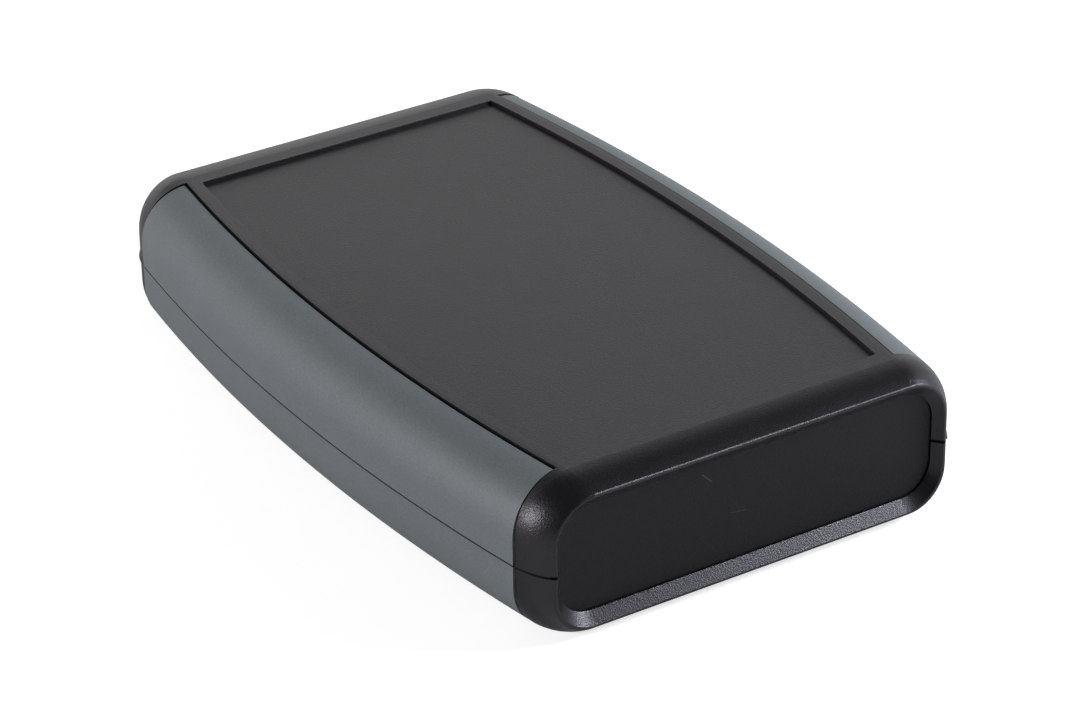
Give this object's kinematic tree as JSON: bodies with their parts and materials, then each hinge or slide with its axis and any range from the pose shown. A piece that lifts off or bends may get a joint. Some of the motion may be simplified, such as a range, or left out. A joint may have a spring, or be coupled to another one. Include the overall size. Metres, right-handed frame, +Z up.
{
  "type": "hand-held instrument enclosure",
  "caption": "Closed hand-held electronics case: two moulded halves with soft grips on bowed sides, a sunk keypad field and slot-in end panels.",
  "frame": {"origin": "middle of the underside", "axes": "+Y along the case towards the rear end panel, +Z up out of the keypad field, +X to the right"},
  "size_m": [0.079, 0.117, 0.024],
  "materials": {
    "shell_plastic": "fine spark-eroded matte black ABS",
    "grip_rubber": "matte slate grey soft elastomer",
    "panel_plastic": "fine matte black ABS",
    "screw_steel": "plain stainless steel",
    "insert_brass": "plain brass"
  },
  "bodies": {
    "root": {"upper_shell": "shell_plastic", "lower_shell": "shell_plastic", "upper_left_grip": "grip_rubber", "upper_right_grip": "grip_rubber", "lower_left_grip": "grip_rubber", "lower_right_grip": "grip_rubber", "front_end_panel": "panel_plastic", "rear_end_panel": "panel_plastic", "cover_screw_1": "screw_steel", "cover_screw_2": "screw_steel", "cover_screw_3": "screw_steel", "cover_screw_4": "screw_steel", "threaded_insert_1": "insert_brass", "threaded_insert_2": "insert_brass", "threaded_insert_3": "insert_brass", "threaded_insert_4": "insert_brass"}
  },
  "joints": []
}
